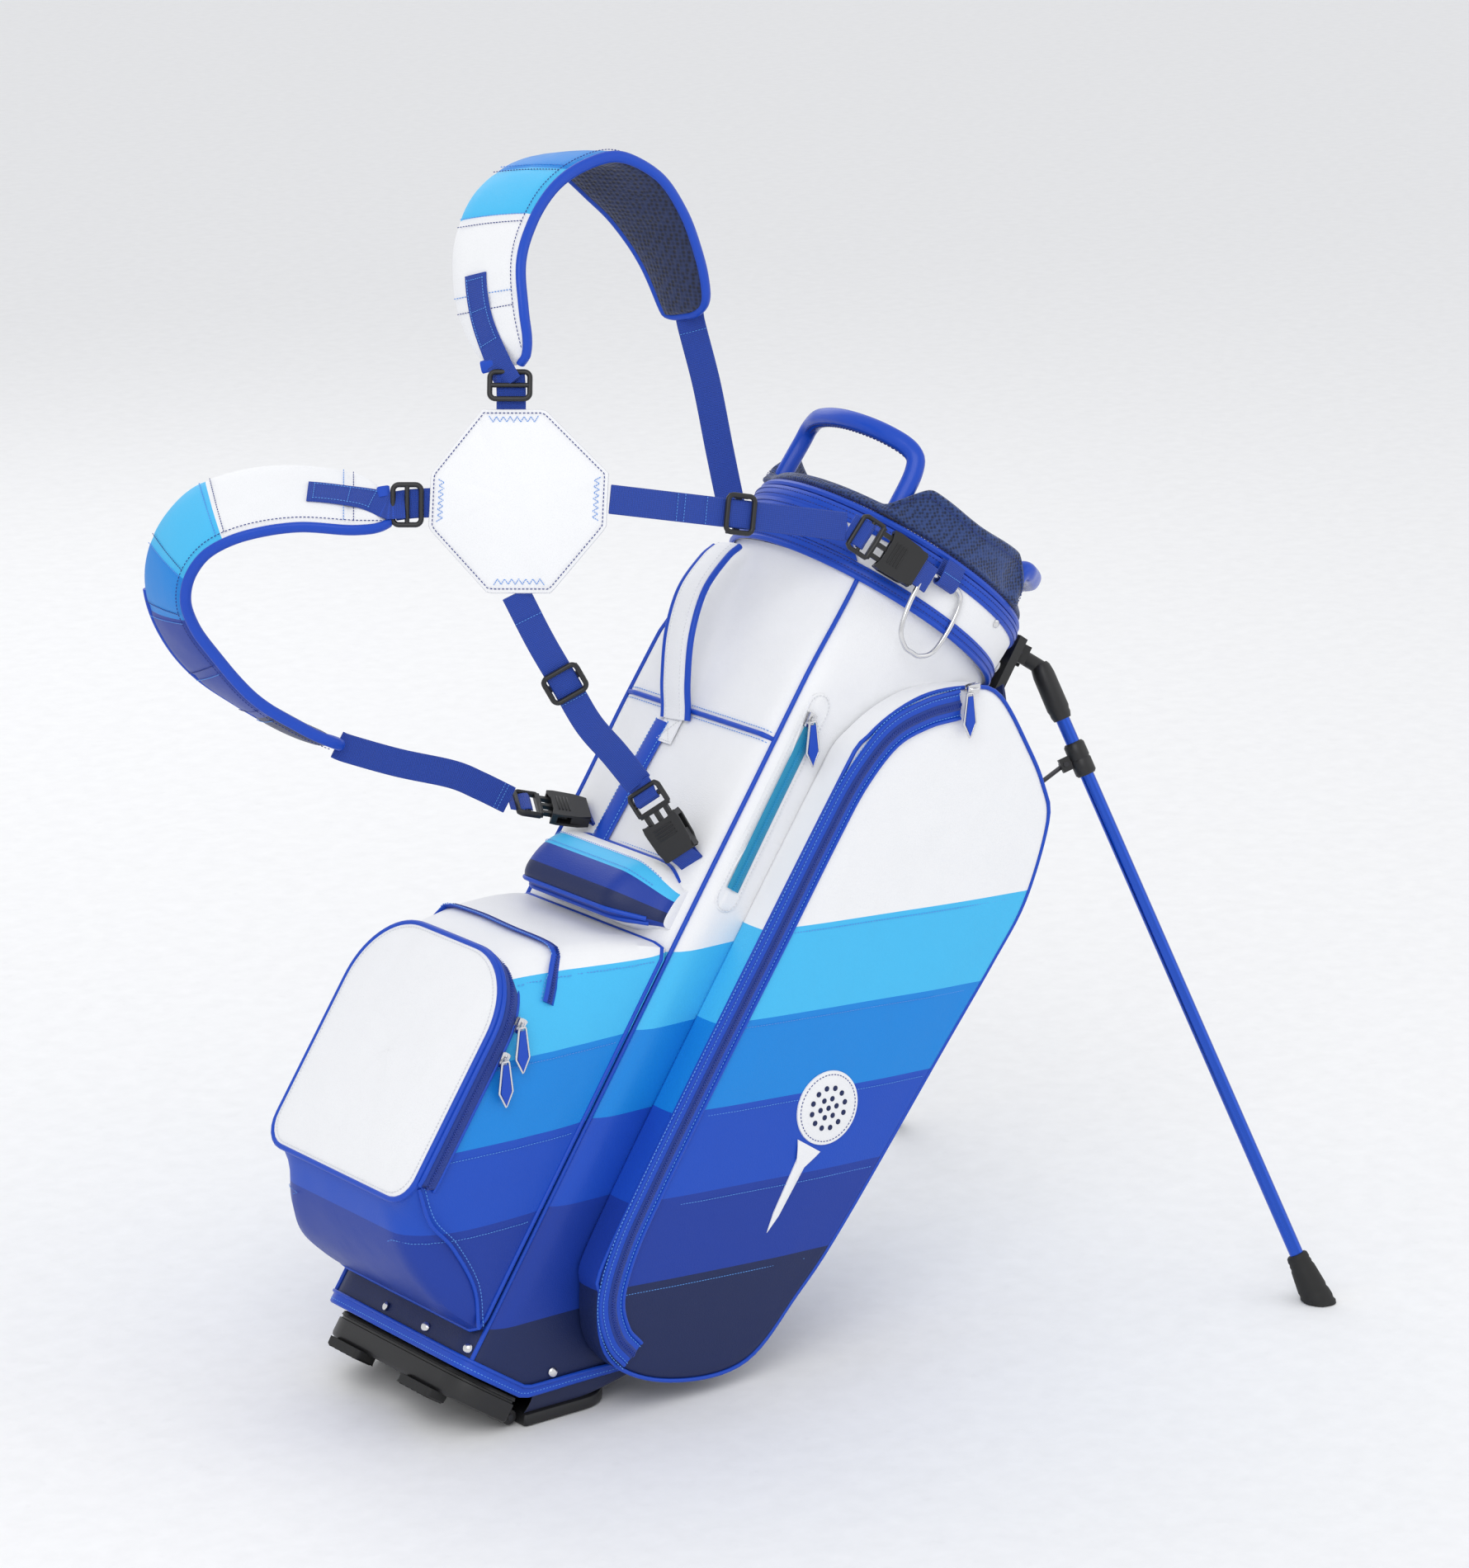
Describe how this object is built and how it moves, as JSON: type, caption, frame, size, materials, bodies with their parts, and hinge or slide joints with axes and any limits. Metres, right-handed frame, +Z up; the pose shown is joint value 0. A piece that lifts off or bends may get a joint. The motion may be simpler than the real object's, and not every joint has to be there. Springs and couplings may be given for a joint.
{
  "type": "golf stand bag",
  "caption": "Golf bag leaning on two folding legs, with a hinged base, pockets on the back and both sides, collar handles and a padded shoulder harness.",
  "frame": {"origin": "on the ground, under the middle of the whole object's box", "axes": "+Z up, +X from the bag's base towards its legs, +Y away from the side that carries the harness"},
  "size_m": [0.9236, 0.6626, 1.067],
  "materials": {
    "white_leather": "fine-grained white coated leather, with printed cyan, azure, blue and navy bands in the visual model",
    "blue_leather": "semi-gloss royal blue coated leather",
    "navy_fabric": "navy knitted mesh and woven lining",
    "blue_webbing": "ribbed royal blue polyester webbing, 25 mm wide",
    "black_plastic": "moulded black plastic with a fine texture",
    "black_rubber": "matt black rubber",
    "blue_tube": "blue anodised aluminium tube",
    "dark_steel": "dark plated spring steel",
    "bright_metal": "satin nickel plate"
  },
  "bodies": {
    "bag": {"body_shell": "white_leather", "collar_band": "white_leather", "side_pocket_near": "white_leather", "side_pocket_far": "white_leather", "ball_pocket": "white_leather", "accessory_pocket": "white_leather", "carry_handle": "white_leather", "centre_pad": "white_leather", "shoulder_pad_upper": "white_leather", "shoulder_pad_lower": "white_leather", "collar_rim": "blue_leather", "rear_handle": "blue_leather", "front_handle": "blue_leather", "club_divider": "navy_fabric", "mesh_cuff": "navy_fabric", "mechanism_cover": "navy_fabric", "ring_tab": "blue_webbing", "upper_arm_webbing": "blue_webbing", "lower_arm_webbing": "blue_webbing", "collar_arm_webbing": "blue_webbing", "back_arm_webbing": "blue_webbing", "upper_pad_webbing": "blue_webbing", "lower_pad_webbing": "blue_webbing", "heel_base": "black_plastic", "leg_bracket": "black_plastic", "buckle_pronged_collar": "black_plastic", "buckle_sleeve_collar": "black_plastic", "buckle_pronged_back": "black_plastic", "buckle_sleeve_back": "black_plastic", "buckle_pronged_low": "black_plastic", "buckle_sleeve_low": "black_plastic", "stay_rod_near": "dark_steel", "stay_rod_far": "dark_steel", "toe_hinge_pin": "dark_steel", "leg_pin_near": "dark_steel", "leg_pin_far": "dark_steel"},
    "toe": {"toe_plate": "black_plastic"},
    "door": {"ball_pocket_door": "white_leather"},
    "leg_near": {"leg_knuckle_near": "black_plastic", "leg_tube_near": "blue_tube", "leg_clamp_near": "black_plastic", "leg_foot_near": "black_rubber"},
    "leg_far": {"leg_knuckle_far": "black_plastic", "leg_tube_far": "blue_tube", "leg_clamp_far": "black_plastic", "leg_foot_far": "black_rubber"},
    "slider": {"leg_slider": "black_plastic"},
    "link_near": {"spring_link_near": "dark_steel"},
    "link_far": {"spring_link_far": "dark_steel"},
    "ring": {"towel_ring": "bright_metal"},
    "side_pull_near": {"side_zip_pull_near": "bright_metal"},
    "side_pull_far": {"side_zip_pull_far": "bright_metal"},
    "slim_slider": {"slim_zip_slider": "bright_metal"},
    "slim_pull": {"slim_zip_pull": "bright_metal"},
    "ball_slider_upper": {"ball_zip_slider_upper": "bright_metal"},
    "ball_slider_lower": {"ball_zip_slider_lower": "bright_metal"},
    "ball_pull_upper": {"ball_zip_pull_upper": "bright_metal"},
    "ball_pull_lower": {"ball_zip_pull_lower": "bright_metal"},
    "glide_collar": {"triglide_collar_arm": "black_plastic"},
    "glide_back": {"triglide_back_arm": "black_plastic"}
  },
  "joints": [
    {"name": "leg_near_fold", "type": "hinge", "parent": "bag", "child": "leg_near", "pos_m": [0.31044, -0.032, 0.58077], "axis": [-0.4528, -0.8394, 0.3008], "range_deg": [-51.5, 0]},
    {"name": "leg_far_fold", "type": "hinge", "parent": "bag", "child": "leg_far", "pos_m": [0.31044, 0.032, 0.58077], "axis": [0.4528, -0.8394, -0.3008], "range_deg": [-51.5, 0]},
    {"name": "toe_fold", "type": "hinge", "parent": "bag", "child": "toe", "pos_m": [-0.31436, 0, 0.009], "axis": [0, 1, 0], "range_deg": [0, 33.6]},
    {"name": "slider_travel", "type": "slide", "parent": "bag", "child": "slider", "axis": [0.5534, 0, 0.8329], "range_m": [-0.068, 0]},
    {"name": "link_near_swing", "type": "hinge", "parent": "leg_near", "child": "link_near", "pos_m": [0.3314, -0.07897, 0.48126], "axis": [-0.4528, -0.8394, 0.3008], "range_deg": [0, 71.5]},
    {"name": "link_far_swing", "type": "hinge", "parent": "leg_far", "child": "link_far", "pos_m": [0.3314, 0.07897, 0.48126], "axis": [0.4528, -0.8394, -0.3008], "range_deg": [0, 71.5]},
    {"name": "towel_ring_swing", "type": "hinge", "parent": "bag", "child": "ring", "pos_m": [0.13776, -0.134, 0.6895], "axis": [-0.8329, 0, 0.5534], "range_deg": [0, 150]},
    {"name": "ball_door_hinge", "type": "hinge", "parent": "bag", "child": "door", "pos_m": [-0.42426, 0, 0.22849], "axis": [0, -1, 0], "range_deg": [0, 110]},
    {"name": "side_pull_near_swing", "type": "hinge", "parent": "bag", "child": "side_pull_near", "pos_m": [0.14734, -0.1585, 0.59188], "axis": [-1, 0, 0], "range_deg": [0, 150]},
    {"name": "side_pull_far_swing", "type": "hinge", "parent": "bag", "child": "side_pull_far", "pos_m": [0.14734, 0.1585, 0.59188], "axis": [1, 0, 0], "range_deg": [0, 150]},
    {"name": "slim_zip_travel", "type": "slide", "parent": "bag", "child": "slim_slider", "axis": [-0.5534, 0, -0.8329], "range_m": [0, 0.165]},
    {"name": "slim_pull_swing", "type": "hinge", "parent": "slim_slider", "child": "slim_pull", "pos_m": [-0.00075, -0.1225, 0.58222], "axis": [-1, 0, 0], "range_deg": [0, 150]},
    {"name": "ball_zip_upper_travel", "type": "slide", "parent": "bag", "child": "ball_slider_upper", "axis": [0.5534, 0, 0.8329], "range_m": [0, 0.045]},
    {"name": "ball_zip_lower_travel", "type": "slide", "parent": "bag", "child": "ball_slider_lower", "axis": [-0.5534, 0, -0.8329], "range_m": [0, 0.12]},
    {"name": "ball_pull_upper_swing", "type": "hinge", "parent": "ball_slider_upper", "child": "ball_pull_upper", "pos_m": [-0.30882, -0.1175, 0.36429], "axis": [-1, 0, 0], "range_deg": [0, 150]},
    {"name": "ball_pull_lower_swing", "type": "hinge", "parent": "ball_slider_lower", "child": "ball_pull_lower", "pos_m": [-0.32653, -0.1175, 0.33764], "axis": [-1, 0, 0], "range_deg": [0, 150]},
    {"name": "collar_glide_travel", "type": "slide", "parent": "bag", "child": "glide_collar", "axis": [0.9554, -0.2215, -0.1954], "range_m": [-0.03, 0.03]},
    {"name": "back_glide_travel", "type": "slide", "parent": "bag", "child": "glide_back", "axis": [0.4638, -0.1488, -0.8733], "range_m": [-0.015, 0.02]}
  ],
  "couplings": [
    {"joint": "leg_far_fold", "follows": "leg_near_fold", "ratio": 1},
    {"joint": "toe_fold", "follows": "leg_near_fold", "ratio": -0.6524},
    {"joint": "slider_travel", "follows": "leg_near_fold", "m_per_rad": 0.07487},
    {"joint": "link_near_swing", "follows": "leg_near_fold", "ratio": -1.3825},
    {"joint": "link_far_swing", "follows": "leg_near_fold", "ratio": -1.3825}
  ]
}
